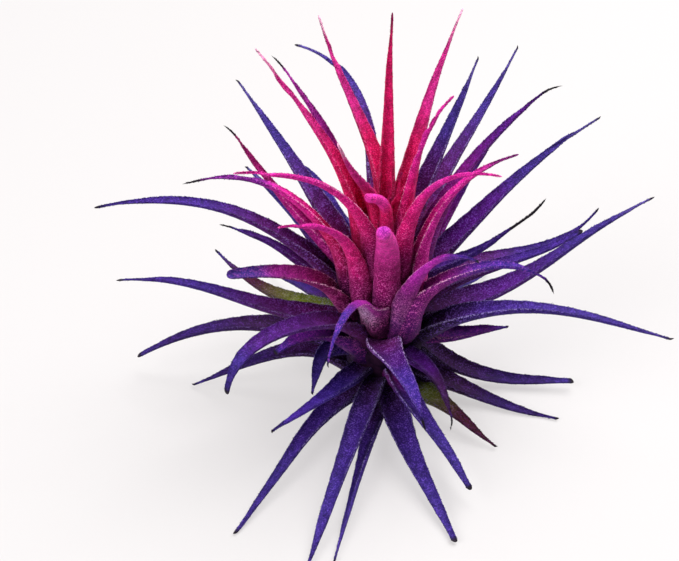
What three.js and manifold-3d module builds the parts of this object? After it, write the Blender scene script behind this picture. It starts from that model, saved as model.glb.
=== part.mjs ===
// A sky plant: a small air plant whose narrow, channelled leaves spread from a short stem in one rosette.
// Millimetres, +Z up. The origin is the middle of the stem's cut end, which stands on the table.
// Turns are degrees anticlockwise from +X, seen from above. The side shown in a front view is at 270 degrees.

import * as THREE from "three";
import { mergeVertices } from "three/addons/utils/BufferGeometryUtils.js";
import Module from "manifold-3d";

// Stem: the radius at each height, from the cut end, through the swollen bulb, to the seat of the heart.
const STEM_PROFILE = [
  [0, 4.5],
  [4, 6],
  [10, 8],
  [18, 9.6],
  [28, 10.4],
  [36, 9.8],
  [43, 7.8],
  [49, 5],
];
const STEM_SIDES = 20;

// Heart: the growing point on top of the stem, with the youngest leaves round it in one body. Its profile goes on
// from the stem's, and each row gives the turn, reach and height of a young leaf's tip, oldest first.
const HEART_PROFILE = [
  [49.3, 4.7],
  [52, 3.4],
  [54.5, 1.8],
  [55.5, 0],
];
const HEART_LEAVES = [
  [-128, 19, 89],
  [85, 15, 106.5],
  [-30, 7, 72],
  [170, 7, 68],
  [40, 5, 68],
  [-80, 5, 66],
];
const HEART_WIDTH = 4.6;
const HEART_TAPER = 1;
const HEART_ROOT = [1.6, 50.5];
const HEART_RISE = 86;
const HEART_FALL = -70;
const CROWN_PROFILE = [...STEM_PROFILE, ...HEART_PROFILE];

// Leaf: the shares of its full width along its length, and the section that those widths scale.
const WIDTH_SHARES = [
  [0, 0.8],
  [0.08, 0.96],
  [0.16, 1],
  [0.32, 0.76],
  [0.55, 0.5],
  [0.78, 0.29],
  [0.93, 0.15],
  [1, 0.1],
];
const LEAF_STATIONS = 12;
const ROLL_SHARE = 0.5;
const ROOT_THICKNESS = 1.5;
const TIP_THICKNESS = 0.6;
const CHANNEL_SHARE = 0.3;
const SEAT_GAP = 0.3;
const HANDLE_SHARE = 0.42;

// The corners of a leaf's section, in the order of a six-sided cone's own corners: the share of the half width
// across the leaf, the share of the channel's depth and the share of the thickness, both towards the upper face.
const SECTION = [
  [0, 0, -1],
  [0.62, 0.35, -0.8],
  [1, 1, 0],
  [0, 0, 0],
  [-1, 1, 0],
  [-0.62, 0.35, -0.8],
];

// Every leaf: its name and its tier's color, its full width, its taper and its roll. Then come the turn and height
// of its root on the stem and how steeply it starts to rise, and the turn, reach and height of its tip and how
// steeply the tip falls. A last number, where there is one, is the way the tip heads, as a turn.
// A taper under 1 ends a leaf bluntly, before its widths run out, and one over 1 draws its tip out to a thread.
// The roll is how far the blade has turned over about its midrib by halfway, with its left edge up.
const STEM = "#4a2a3a";
const LOW = "#3a1f8c";
const MIDDLE = "#6a1f8e";
const INNER = "#b01a6c";
const LEAVES = [
  // Oldest leaves, which spread down to the table.
  ["leaf_low_01", LOW, 5.4, 1, 45, -97, 3.6, 8, -101, 67, 0.8, 5],
  ["leaf_low_02", LOW, 7.6, 1, 0, 178, 6, 50, 180, 51, 0.8, 25],
  ["leaf_low_03", LOW, 6.6, 1, 0, -8, 8, -22, -16, 48, 0.8, 0],
  ["leaf_low_04", LOW, 7.2, 1, 0, 92, 5, 20, 92, 60, 0.8, 10],
  ["leaf_low_05", LOW, 5.8, 1, 0, -134, 5.5, 5, -124, 67, 0.8, 5],
  ["leaf_low_06", LOW, 7.4, 0.9, 0, -82, 7.5, 0, -74, 61, 0.8, 5],
  ["leaf_low_07", LOW, 6.4, 0.85, 15, 12, 14, -52, -1, 51, 3, -5],
  ["leaf_low_08", LOW, 6.8, 1, 0, 62, 9.5, 25, 58, 58, 0.8, 15],
  ["leaf_low_09", LOW, 7, 1, 0, 125, 8.5, 25, 122, 60, 0.8, 15],
  ["leaf_low_10", LOW, 5.8, 0.75, 0, -104, 10, 5, -106, 71, 0.8, 10],
  ["leaf_low_11", LOW, 7.2, 1, 0, -38, 4, 12, -40, 38, 0.8, 15],
  ["leaf_low_12", LOW, 8.2, 0.95, 0, 168, 13, 15, 175, 66, 6, 36],
  ["leaf_low_13", LOW, 5.2, 0.7, 0, -72, 13, 0, -65, 50, 6, 15],
  ["leaf_low_14", LOW, 5.4, 0.8, 0, -2, 19, -5, 2, 33, 20, -5],
  ["leaf_low_15", LOW, 7.8, 1, -10, 150, 18, 3, 147, 54, 24, -33],
  ["leaf_low_16", LOW, 5.4, 1, 0, -128, 13, 0, -127, 47, 18, -10],
  ["leaf_low_17", LOW, 5, 0.8, 0, -158, 17.5, 15, -130, 29, 17, 50],
  ["leaf_low_18", LOW, 6.6, 1, 0, 98, 15, 35, 100, 62, 14, 20],
  // Middle leaves, which arch out level.
  ["leaf_mid_01", MIDDLE, 6.8, 1, 0, -178, 20, 5, -175, 42, 36, -15],
  ["leaf_mid_02", MIDDLE, 7.4, 1, 0, -24, 22, 45, -18, 75, 36, 8],
  ["leaf_mid_03", MIDDLE, 5.6, 1, 0, 42, 22, 40, 27, 65, 38, -50],
  ["leaf_mid_04", MIDDLE, 4.4, 1, 0, -56, 20, 5, -67, 44, 22, 35],
  ["leaf_mid_05", MIDDLE, 8.4, 1, 0, -91, 25, 20, -78, 45, 24, 50],
  ["leaf_mid_06", MIDDLE, 6.8, 1, 0, -165, 26, 12, -172, 68, 44, 0],
  ["leaf_mid_07", MIDDLE, 6.4, 0.72, -10, -126, 27, 50, -134, 56, 33, 80],
  ["leaf_mid_08", MIDDLE, 7.6, 1, 0, 5, 26, 4, 18, 75, 46, -14],
  ["leaf_mid_09", MIDDLE, 6.6, 1, 0, 78, 24, 50, 82, 60, 32, 20],
  ["leaf_mid_10", MIDDLE, 4.8, 1, 0, 168, 31, 30, 177, 42, 53, -18],
  ["leaf_mid_11", MIDDLE, 7.6, 0.85, -15, -141, 20, 48, -142, 35, 30, 18],
  ["leaf_mid_12", MIDDLE, 6.8, 1.1, 0, -56, 30, 84, -27, 47, 50, 50],
  ["leaf_mid_13", MIDDLE, 6.4, 1, 0, 118, 25, 50, 114, 61, 36, 20],
  ["leaf_mid_14", MIDDLE, 4.4, 1.1, 0, 50, 28, 45, 50, 49, 60, -35],
  ["leaf_mid_15", MIDDLE, 6.2, 1, 0, -178, 35, 50, -175, 72, 64, 10],
  ["leaf_mid_16", MIDDLE, 5.6, 0.9, 0, 0, 32, 32, 2, 50, 51, -35],
  ["leaf_mid_17", MIDDLE, 8.2, 0.9, 0, -103, 31, 75, -107, 49, 47, 60],
  ["leaf_mid_18", MIDDLE, 5.4, 0.6, -25, -148, 31, 62, -147, 46, 57, -14],
  ["leaf_mid_19", MIDDLE, 6.4, 1, 0, -66, 31, 74, -53, 36, 64, -10],
  ["leaf_mid_20", MIDDLE, 3.8, 1, 0, 0, 39, 20, -2, 40, 63, -48],
  ["leaf_mid_21", MIDDLE, 7, 0.85, 0, 142, 29, 38, 150, 41, 58, -35],
  ["leaf_mid_22", MIDDLE, 6.6, 1.15, 0, 27, 34, 38, 30, 65, 66, -18],
  ["leaf_mid_23", MIDDLE, 6.6, 1.05, 0, 142, 36, 58, 135, 54, 73, -36],
  // Inner leaves, which rise.
  ["leaf_in_01", INNER, 5.4, 1.1, 0, -154, 38, 84, -171, 50, 72, 22],
  ["leaf_in_02", INNER, 5.4, 1.15, 0, 172, 40, 45, 171, 39, 81, -60],
  ["leaf_in_03", INNER, 5.6, 0.6, 0, -88, 36, 86, -92, 33, 76, -40],
  ["leaf_in_04", INNER, 5.6, 1.05, 0, -38, 40, 88, -5, 32, 78, -16],
  ["leaf_in_05", INNER, 5.4, 1.1, 0, -127, 37, 84, -128, 41, 77.5, -26],
  ["leaf_in_06", INNER, 6.2, 1.05, 0, 54, 39, 50, 55, 63, 75, -38],
  ["leaf_in_07", INNER, 4.8, 1.1, 0, 100, 41, 64, 114, 57, 76, -4, 155],
  ["leaf_in_08", INNER, 5.6, 1.1, 0, -58, 44, 88, -46, 37, 88, -18],
  ["leaf_in_09", INNER, 6, 1.05, 0, -5, 43, 77, 16, 44, 89, -32],
  ["leaf_in_10", INNER, 5.4, 1.1, 0, -114, 46, 84, -144, 44, 88, -15],
  ["leaf_in_11", INNER, 6.2, 1, 0, 40, 47, 65, 54, 41, 83, -45],
  ["leaf_in_12", INNER, 5, 0.6, 0, -97, 47, 86, -107, 17, 73.5, -20, -135],
  ["leaf_in_13", INNER, 5.4, 1.1, 0, 138, 45, 78, 145, 33, 93, -50],
  ["leaf_in_14", INNER, 6.2, 1.2, 0, 180, 50, 82, 157, 34, 98, -50],
  ["leaf_in_15", INNER, 5.8, 1.15, 0, 88, 47, 78, 115, 39, 94, -60],
  ["leaf_in_16", INNER, 5.8, 1.15, 0, 50, 50, 74, 62, 41, 96, -40],
  ["leaf_in_17", INNER, 4.6, 1.15, 0, -52, 49, 78, -37, 18, 100, -60],
];

const radians = THREE.MathUtils.degToRad;

// The value at x of a line of straight pieces through the given points, and the last value beyond them.
function along(points, x) {
  if (x >= points.at(-1)[0]) return points.at(-1)[1];
  const next = Math.max(1, points.findIndex(([at]) => at >= x));
  const [x0, y0] = points[next - 1];
  const [x1, y1] = points[next];
  return y0 + ((y1 - y0) * (x - x0)) / (x1 - x0);
}

// A point given by its turn round the stem, its reach from the axis and its height.
function around(turn, reach, height) {
  return new THREE.Vector3(reach * Math.cos(radians(turn)), reach * Math.sin(radians(turn)), height);
}

function turnOf(point) {
  return THREE.MathUtils.radToDeg(Math.atan2(point.y, point.x));
}

// A turned body from rows of height and radius. It is closed by a flat face wherever an end isn't on the axis.
function turnedGeometry(rows) {
  const outline = rows.map(([height, radius]) => new THREE.Vector2(radius, height));
  const start = new THREE.Vector2(0, rows[0][0]);
  const end = new THREE.Vector2(0, rows.at(-1)[0]);
  const points = [start, ...outline, end].filter((point, i, all) => i === 0 || !point.equals(all[i - 1]));
  return mergeVertices(bare(new THREE.LatheGeometry(points, STEM_SIDES).rotateX(Math.PI / 2)), 1e-4);
}

// A geometry with its corners alone, so that corners in one place can be merged.
function bare(geometry) {
  return geometry.deleteAttribute("normal").deleteAttribute("uv");
}

// How far a point lies outside the stem and the heart's dome, measured level from the axis.
function clearOfStem(point) {
  const top = CROWN_PROFILE.at(-1)[0];
  const reach = Math.hypot(point.x, point.y);
  return point.z >= top ? Math.hypot(reach, point.z - top) : reach - along(CROWN_PROFILE, point.z);
}

// The midrib: a curve that leaves the stem at the root's slope and ends with the tip's slope.
function midrib(turn, reach, height, rise, tip, fall, heading) {
  const root = around(turn, reach, height);
  const handle = HANDLE_SHARE * root.distanceTo(tip);
  const start = around(turn, Math.cos(radians(rise)), Math.sin(radians(rise)));
  const end = around(heading ?? turnOf(tip.clone().sub(root)), Math.cos(radians(fall)), -Math.sin(radians(fall)));
  const shoulder = root.clone().addScaledVector(start, handle);
  const bend = tip.clone().addScaledVector(end, -handle);
  return new THREE.CubicBezierCurve3(root, shoulder, bend, tip);
}

// The leaf's blade: a cone whose corners are laid out as sections of the leaf along its midrib.
function bladeGeometry(curve, width, taper, roll) {
  const blade = bare(new THREE.ConeGeometry(1, 1, SECTION.length, LEAF_STATIONS));
  const outward = curve.v3.clone().sub(curve.v0);
  const across = new THREE.Vector3(-outward.y, outward.x, 0).normalize();
  const corners = blade.getAttribute("position");
  for (let i = 0; i < corners.count; i++) {
    const [x, y, z] = [corners.getX(i), corners.getY(i), corners.getZ(i)];
    const share = THREE.MathUtils.clamp(y + 0.5, 0, 1);
    const forward = curve.getTangent(share);
    const rolled = radians(roll) * THREE.MathUtils.smoothstep(share, 0, ROLL_SHARE);
    const level = across.clone().addScaledVector(forward, -across.dot(forward)).normalize();
    const side = level.applyAxisAngle(forward, rolled);
    const up = forward.clone().cross(side);
    const half = (width / 2) * along(WIDTH_SHARES, share * taper);
    const thickness = THREE.MathUtils.lerp(ROOT_THICKNESS, TIP_THICKNESS, share);
    const isMiddle = Math.hypot(x, z) < 1e-6;
    const corner = Math.round((Math.atan2(x, z) / (2 * Math.PI)) * SECTION.length + SECTION.length);
    const [wide, deep, thick] = isMiddle ? [0, 0, -0.5] : SECTION[corner % SECTION.length];
    const point = curve
      .getPoint(share)
      .addScaledVector(side, wide * half)
      .addScaledVector(up, deep * CHANNEL_SHARE * half + thick * thickness);
    corners.setXYZ(i, point.x, point.y, point.z);
  }
  return mergeVertices(blade, 1e-4);
}

// Seats a leaf: its root moves out from the stem until the whole blade clears the stem by the seat's gap.
function leafGeometry(width, taper, roll, turn, height, rise, tip, fall, heading) {
  for (let reach = along(CROWN_PROFILE, height); ; reach += 0.1) {
    const blade = bladeGeometry(midrib(turn, reach, height, rise, tip, fall, heading), width, taper, roll);
    const corners = blade.getAttribute("position");
    const point = new THREE.Vector3();
    let least = Infinity;
    for (let i = 0; i < corners.count; i++) {
      least = Math.min(least, clearOfStem(point.fromBufferAttribute(corners, i)));
    }
    if (least >= SEAT_GAP) return blade;
  }
}

// The heart: a dome with young leaves that all start inside it, joined into one body.
function heartGeometry() {
  const young = HEART_LEAVES.map(([turn, reach, height]) => {
    const curve = midrib(turn, ...HEART_ROOT, HEART_RISE, around(turn, reach, height), HEART_FALL);
    return bladeGeometry(curve, HEART_WIDTH, HEART_TAPER, 0);
  });
  const bodies = [turnedGeometry(HEART_PROFILE), ...young].map(solidOf);
  return geometryOf(bodies.reduce((joined, body) => joined.add(body)));
}

function solidOf(geometry) {
  const vertProperties = geometry.getAttribute("position").array;
  const triVerts = new Uint32Array(geometry.index.array);
  return new wasm.Manifold(new wasm.Mesh({ numProp: 3, vertProperties, triVerts }));
}

function geometryOf(solid) {
  const mesh = solid.getMesh();
  const geometry = new THREE.BufferGeometry();
  geometry.setAttribute("position", new THREE.BufferAttribute(mesh.vertProperties, 3));
  return geometry.setIndex(new THREE.BufferAttribute(mesh.triVerts, 1));
}

const wasm = await Module();
wasm.setup();
const plant = new THREE.Group();

function place(name, color, geometry) {
  const material = new THREE.MeshStandardMaterial({ color, roughness: 0.75, metalness: 0, flatShading: true });
  const mesh = new THREE.Mesh(geometry, material);
  mesh.name = name;
  plant.add(mesh);
}

place("stem", STEM, turnedGeometry(STEM_PROFILE));
place("heart", INNER, heartGeometry());
for (const [name, color, width, taper, roll, turn, height, rise, ...ending] of LEAVES) {
  const [tipTurn, tipReach, tipHeight, fall, heading] = ending;
  const tip = around(tipTurn, tipReach, tipHeight);
  place(name, color, leafGeometry(width, taper, roll, turn, height, rise, tip, fall, heading));
}

export default plant;
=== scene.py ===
# %% [markdown]
# # A dyed sky plant
# A sky plant is a small air plant: a rosette of narrow, channelled leaves round a short stem. This one
# has been dyed, from crimson at its heart, through magenta, to violet and blue at the ends of its oldest
# leaves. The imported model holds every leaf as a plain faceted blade. This lesson reads each blade's
# midrib back from the model and grows a finer leaf along it, so every leaf stays where it was built.

import math

import bpy
import numpy as np
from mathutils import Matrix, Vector


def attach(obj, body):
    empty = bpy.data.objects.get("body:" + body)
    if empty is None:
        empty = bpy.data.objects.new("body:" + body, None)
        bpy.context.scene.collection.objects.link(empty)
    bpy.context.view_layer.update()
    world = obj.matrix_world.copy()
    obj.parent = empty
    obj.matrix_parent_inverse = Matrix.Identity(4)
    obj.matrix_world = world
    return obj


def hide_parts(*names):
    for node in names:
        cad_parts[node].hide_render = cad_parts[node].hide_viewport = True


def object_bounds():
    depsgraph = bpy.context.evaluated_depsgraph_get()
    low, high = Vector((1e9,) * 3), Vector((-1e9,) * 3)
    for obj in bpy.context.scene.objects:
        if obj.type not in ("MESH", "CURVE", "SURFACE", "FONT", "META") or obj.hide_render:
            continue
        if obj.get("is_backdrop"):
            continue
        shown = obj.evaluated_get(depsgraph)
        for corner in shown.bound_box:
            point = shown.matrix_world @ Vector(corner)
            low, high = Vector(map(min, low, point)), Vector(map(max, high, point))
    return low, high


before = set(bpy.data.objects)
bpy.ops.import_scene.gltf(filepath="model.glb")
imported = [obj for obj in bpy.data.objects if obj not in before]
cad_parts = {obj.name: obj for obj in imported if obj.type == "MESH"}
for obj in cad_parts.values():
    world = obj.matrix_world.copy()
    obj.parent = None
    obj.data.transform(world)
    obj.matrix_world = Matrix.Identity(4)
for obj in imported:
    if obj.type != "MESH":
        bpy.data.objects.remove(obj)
cad_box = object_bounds()
MM = 0.001
leaf_names = sorted(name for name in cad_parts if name.startswith("leaf"))
print(len(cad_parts), "nodes,", len(leaf_names), "of them single leaves")

# %% [markdown]
# ## The camera
# The plant was seen from above its front with a long lens, so the leaves that lie on the table run down
# the picture and the heart stands in the middle of it.

# %% Camera
TARGET = Vector((-11.4 * MM, -10.0 * MM, 44.1 * MM))
DISTANCE = 500 * MM
ELEVATION = math.radians(38)
LENS = 106.04
SENSOR = 36

camera_data = bpy.data.cameras.new("camera")
camera_data.lens = LENS
camera_data.sensor_width = SENSOR
camera_data.clip_start = 10 * MM
camera = bpy.data.objects.new("camera", camera_data)
camera.location = TARGET + Vector((0, -math.cos(ELEVATION), math.sin(ELEVATION))) * DISTANCE
camera.rotation_euler = (math.pi / 2 - ELEVATION, 0, 0)
bpy.context.scene.collection.objects.link(camera)
bpy.context.scene.camera = camera
print("camera at", [round(x / MM) for x in camera.location], "mm")

# %% [markdown]
# ## Reading a leaf back
# A packed leaf is a six-sided blade: a cap at its root, twelve rings of six corners and a tip. A walk
# over the faces from the tip finds the rings, one step at a time. In each ring the two corners that are
# furthest apart are the leaf's edges, and of the two that lie midway between them, the nearer one is on
# the midrib. The midrib was drawn as one cubic curve, so a cubic through those points gives it back
# exactly.

# %% Find a leaf's midrib and half widths
RINGS = 12
RING_CORNERS = 6


def unit(vectors):
    """Vectors of the same directions with a length of one."""
    return vectors / np.linalg.norm(vectors, axis=-1, keepdims=True)


def read(collection, attribute, width):
    """One number row for each item of a mesh's vertices or loops."""
    values = np.empty(len(collection) * width, np.float32 if width > 1 else np.int32)
    collection.foreach_get(attribute, values)
    return values.reshape(-1, width) if width > 1 else values


def walk(corners, faces, tip):
    """The corners that are one step over the faces away from the tip, then two steps away, and so on."""
    step = np.full(len(corners), -1)
    step[tip] = 0
    for ring in range(1, RINGS + 1):
        touched = np.unique(faces[(step[faces] == ring - 1).any(axis=1)])
        step[touched[step[touched] < 0]] = ring
    return [corners[step == ring] for ring in range(RINGS, 0, -1)]


def rings_of(node):
    """A leaf's rings of corners, from root to tip: the tip is the far corner that leads to rings of six."""
    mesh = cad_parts[node].data
    corners, names = np.unique(read(mesh.vertices, "co", 3), axis=0, return_inverse=True)
    faces = names.reshape(-1)[read(mesh.loops, "vertex_index", 1)].reshape(-1, 3)
    nearest = corners[np.hypot(corners[:, 0], corners[:, 1]).argmin()]
    for tip in np.linalg.norm(corners - nearest, axis=1).argsort()[::-1]:
        rings = walk(corners, faces, tip)
        if all(len(ring) == RING_CORNERS for ring in rings):
            return np.array(rings, float)


def level_across(curve):
    """The level direction across a leaf, on the left of the way from its root to its tip."""
    root, tip = curve[3], curve.sum(axis=0)
    return unit(np.array((root[1] - tip[1], tip[0] - root[0], 0)))


def midrib_of(node):
    """The coefficients of a leaf's cubic midrib, and at each ring its half width and the way across it."""
    rings = rings_of(node)
    rows = np.arange(RINGS)
    gaps = np.linalg.norm(rings[:, :, None] - rings[:, None], axis=3).reshape(RINGS, -1)
    left = rings[rows, gaps.argmax(axis=1) // RING_CORNERS]
    right = rings[rows, gaps.argmax(axis=1) % RING_CORNERS]
    half = gaps.max(axis=1) / 2
    away = rings - (left[:, None] + right[:, None]) / 2
    sideways = abs(np.einsum("rci,ri->rc", away, right - left))
    middle = sideways.argsort(axis=1)[:, :2]
    depths = np.take_along_axis(np.linalg.norm(away, axis=2), middle, axis=1)
    upper = rings[rows, middle[rows, depths.argmin(axis=1)]]
    curve = np.polyfit(rows / RINGS, upper, 3)
    across = unit(left - right)
    across *= np.where(across @ level_across(curve) < 0, -1, 1)[:, None]
    return curve, half, across


curves = {name: midrib_of(name) for name in leaf_names}
print("widest leaf", round(2 * max(half.max() for _, half, _ in curves.values()) / MM, 1), "mm")

# %% [markdown]
# ## Where a leaf starts
# On the real plant a leaf starts low on the stem as a broad, pale, fleshy sheath that clasps it, and then
# bends out as the blade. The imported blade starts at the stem's skin. So the line goes on backwards from
# there, in to the stem and down along it, by a Hermite curve: a blend of two end points and two end
# directions.

# %% Lead a leaf's line down into the stem
SHEATH_POINTS = 60
SHEATH_DROP = 5.0 * MM
SHEATH_DIP = 2.2 * MM
SHEATH_PULL = 7.0 * MM
TABLE_GAP = 0.9 * MM


def ease(x, low, high):
    """A smooth step: 0 below low, 1 above high, and 3t² - 2t³ of the share t between them."""
    t = np.clip((x - low) / (high - low), 0, 1)
    return t * t * (3 - 2 * t)


def sheath_line(root, heading):
    """The Hermite curve from a point in the stem, heading up, to the root, heading as the blade does."""
    out = unit(root * (1, 1, 0))
    start = root - out * SHEATH_DIP - (0, 0, SHEATH_DROP)
    start[2] = max(start[2], TABLE_GAP)
    t = np.linspace(0, 1, SHEATH_POINTS, endpoint=False)[:, None]
    up = np.array((0, 0, SHEATH_PULL))
    return (
        (2 * t**3 - 3 * t**2 + 1) * start
        + (t**3 - 2 * t**2 + t) * up
        + (3 * t**2 - 2 * t**3) * root
        + (t**3 - t**2) * heading * SHEATH_PULL
    )


print("sheaths start up to", SHEATH_DROP / MM, "mm below their blades")

# %% [markdown]
# ## How a leaf's channel opens
# A leaf's section is an arc, and its bend is half the angle that the arc covers. A young, steep leaf is
# rolled nearly shut where it leaves the stem, and opens on its way out. Three leaves of this plant stay
# closed in their own way: two are tubes to their ends, and one has a sheath like a knob and a thin blade
# that hangs from it.

# %% Bend the section along a leaf
SHEATH_BEND = math.radians(105)
BLADE_BEND = math.radians(56)
TIP_BEND = math.radians(45)
SHUT_BEND = math.radians(170)
KNOB_BEND = math.radians(68)
ROLLED_BEND = math.radians(-55)
STEEPNESS = (0.35, 0.95)
UNROLL = (8 * MM, 34 * MM)
TIP_OPENING = (0.4, 1)
ROLL = (5 * MM, 13 * MM)
FORMS = {
    # How a leaf stays closed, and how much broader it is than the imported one.
    "leaf_mid_17": ("knobbed", 1.0),
    "leaf_in_03": ("shut", 1.1),
    "leaf_in_12": ("shut", 0.58),
}


def bends_along(form, forward, blade_share, past_root):
    """The bend at each point: the blade's, with the sheath's where a steep leaf is near its root."""
    if form == "shut":
        return np.full(len(forward), SHUT_BEND)
    if form == "knobbed":
        return KNOB_BEND + (ROLLED_BEND - KNOB_BEND) * ease(past_root, *ROLL)
    closed = ease(forward[:, 2], *STEEPNESS) * (1 - ease(past_root, *UNROLL))
    bend = BLADE_BEND + (SHEATH_BEND - BLADE_BEND) * closed
    bend += (TIP_BEND - BLADE_BEND) * ease(blade_share, *TIP_OPENING)
    return bend


print("bends from", round(math.degrees(TIP_BEND)), "to", round(math.degrees(SHEATH_BEND)), "degrees")

# %% [markdown]
# ## The line a leaf grows along
# Sheath and blade together are one line. Along it go the leaf's half width, its thickness, its bend and
# the directions across it and up from it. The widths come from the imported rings, which are few, so a
# running mean rounds their corners off.

# %% Lay out the line of one leaf
LINE_POINTS = 320
WIDTH_WINDOW = 21
SHEATH_REACH = 15 * MM
SHEATH_SPREAD = 0.04
SKIRT_SPREAD = 0.1
SWELLING_SPAN = (0, 0.4)
ROLL_NARROWING = 0.5
ROOT_THICKNESS = 1.5 * MM
TIP_THICKNESS = 0.6 * MM
SHEATH_THICKNESS = 0.9 * MM


def sides_along(across, forward, blade_share):
    """The way across at each point: that of the rings, less what of it points along the line."""
    ring_share = np.arange(RINGS) / RINGS
    side = np.stack([np.interp(blade_share, ring_share, across[:, k]) for k in range(3)], axis=-1)
    return unit(side - (side * forward).sum(axis=1, keepdims=True) * forward)


def widths_along(half, blade_share, past_root):
    """The half width at each point: the rings' own, as a running mean, and a little more round the root."""
    end = max(2 * half[-1] - half[-2], half[-1] / 2)
    width = np.interp(blade_share, np.append(np.arange(RINGS) / RINGS, 1), np.append(half, end))
    padded = np.pad(width, WIDTH_WINDOW // 2, mode="edge")
    width = np.convolve(padded, np.ones(WIDTH_WINDOW) / WIDTH_WINDOW, mode="valid")
    width *= 1 + SHEATH_SPREAD * (1 - ease(past_root, 0, SHEATH_REACH))
    width *= 1 + SKIRT_SPREAD * (1 - ease(past_root, -SHEATH_DROP, SHEATH_DROP))
    return width


def grow(curve, half, across, form="", swelling=1.0):
    """Everything that a leaf's surface needs at each point of its line, with share as the length so far.

    A leaf of the shut form is a closed tube to its end. One of the knobbed form has a broad, rounded sheath,
    and then a narrow blade whose edges roll down."""
    t = np.linspace(0, 1, LINE_POINTS)
    blade = np.vander(t, 4) @ curve
    at = np.vstack([sheath_line(blade[0], unit(curve[2])), blade])
    lengths = np.insert(np.cumsum(np.linalg.norm(np.diff(at, axis=0), axis=1)), 0, 0)
    past_root = lengths - lengths[SHEATH_POINTS]
    forward = unit(np.gradient(at, axis=0))
    blade_share = np.concatenate([np.zeros(SHEATH_POINTS), t])
    side = sides_along(across, forward, blade_share)
    width = widths_along(half, blade_share, past_root)
    thickness = ROOT_THICKNESS + (TIP_THICKNESS - ROOT_THICKNESS) * blade_share
    thickness += SHEATH_THICKNESS * (1 - ease(past_root, 0, SHEATH_REACH))
    if form == "shut":
        width *= 1 + (swelling - 1) * ease(blade_share, *SWELLING_SPAN)
    if form == "knobbed":
        width *= 1 - ROLL_NARROWING * ease(past_root, *ROLL)
    return {
        "share": lengths / lengths[-1],
        "at": at,
        "side": side,
        "up": np.cross(forward, side),
        "width": width,
        "thickness": thickness,
        "bend": bends_along(form, forward, blade_share, past_root),
        "length": lengths[-1],
        "root": lengths[SHEATH_POINTS] / lengths[-1],
    }


lines = {name: grow(*curves[name], *FORMS.get(name, ())) for name in leaf_names}
print("longest leaf", round(max(line["length"] for line in lines.values()) / MM), "mm with its sheath")

# %% [markdown]
# ## The ends and the wandering of leaves
# The real leaves end in different ways: some in a dry, curled thread, some blunt, most in a fine point.
# None is quite straight or even. So the width closes over the last stretch, the end curls off the line,
# and slow waves lead the whole leaf a little off it and turn it about itself.

# %% Place the middle of a leaf
ENDINGS = {
    # The share of the length where the end begins, the share before it that narrows, the half width that it
    # narrows to, how far the end curls, and the share where it has dried.
    "faded": (0.985, 0.22, 0.18 * MM, 0.0 * MM, 2),
    "fine": (0.985, 0.22, 0.22 * MM, 0.5 * MM, 0.98),
    "blunt": (0.98, 0.15, 0.65 * MM, 0.3 * MM, 0.98),
    "stub": (0.965, 0.1, 1.0 * MM, 0.2 * MM, 2),
    "finger": (0.95, 0.1, 1.6 * MM, 0.2 * MM, 2),
    "thread": (0.91, 0.12, 0.2 * MM, 2.0 * MM, 0.93),
    "whip": (0.85, 0.55, 0.25 * MM, 1.2 * MM, 0.72),
}
THICK_ENDS = ("stub", "finger")
WAVE_RATES = (5, 9, 19)
WAVE_SCALES = (1, 2, 4)
WANDER = 0.16 * MM
TWIST_WANDER = 0.12


def along_line(line, key, share):
    """The values of a leaf's line at any share of its length, between those of its points."""
    values = line[key]
    if values.ndim == 1:
        return np.interp(share, line["share"], values)
    return np.stack([np.interp(share, line["share"], values[:, k]) for k in range(3)], axis=-1)


def wander(share, draws):
    """A slow wave along a leaf: the sum of three sines with drawn phases, each faster and half as high."""
    waves = zip(WAVE_RATES, WAVE_SCALES, draws)
    return sum([np.sin(share * rate + phase) / scale for rate, scale, phase in waves])


def past_end(share, ending):
    """How much of a leaf's end is passed: 0 up to where it begins, and 1 at the tip."""
    begins = ENDINGS[ending][0]
    return np.clip((share - begins) / (1 - begins), 0, 1)


def middle(line, ending, habit, share):
    """The middle of a leaf at a share of its length, and the directions across it and up from it.

    The directions turn by the twist and a wave. The middle leaves the line by two more waves, and by the
    curl times the square of how much of the end is passed."""
    at = along_line(line, "at", share)
    side = unit(along_line(line, "side", share))
    up = unit(along_line(line, "up", share))
    out = ease(share, line["root"], 1)[..., None]
    waves = TWIST_WANDER * wander(share, habit["twist_waves"])[..., None]
    turn = habit["twist"] * out + waves * out
    side, up = side * np.cos(turn) + up * np.sin(turn), up * np.cos(turn) - side * np.sin(turn)
    at = at + side * out * WANDER * wander(share, habit["side_waves"])[..., None]
    at = at + up * out * WANDER * wander(share, habit["up_waves"])[..., None]
    curl = ENDINGS[ending][3] * past_end(share, ending) ** 2
    at = at + (side * habit["curl_side"] + up * habit["curl_up"]) * curl[..., None]
    return at, side, up


print(len(ENDINGS), "ways to end a leaf")

# %% [markdown]
# ## The skin of a leaf
# A leaf's section is a flattened ring bent into a channel. The ring's angle gives a place across the leaf
# and a side of it, and the bend turns the straight width into an arc.

# %% Work out points of a leaf's skin
UPPER_BULGE = 0.1
SLIMMING = 0.5
RIPPLE = 0.02
RIPPLE_RATE = 90
STOUTNESS = 1.6
LEAST_THICKNESS = 0.05 * MM
LEAST_CLOSE = 0.05
SHUT_SETTLING = 0.8
SETTLING_SPAN = (0.3, 0.8)
TABLE_CLEARANCE = 0.05 * MM


def half_width(line, ending, habit, share, close):
    """The line's half width, narrowed to the end's own, then closed at the tip, with a slight ripple."""
    begins, narrows, end_width = ENDINGS[ending][:3]
    full = along_line(line, "width", share)
    if ending in THICK_ENDS:
        width = np.maximum(full, end_width)
    else:
        width = full + (np.minimum(full, end_width) - full) * ease(share, begins - narrows, begins)
    return width * close * (1 + RIPPLE * np.sin(share * RIPPLE_RATE + habit["side_waves"][0]))


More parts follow.
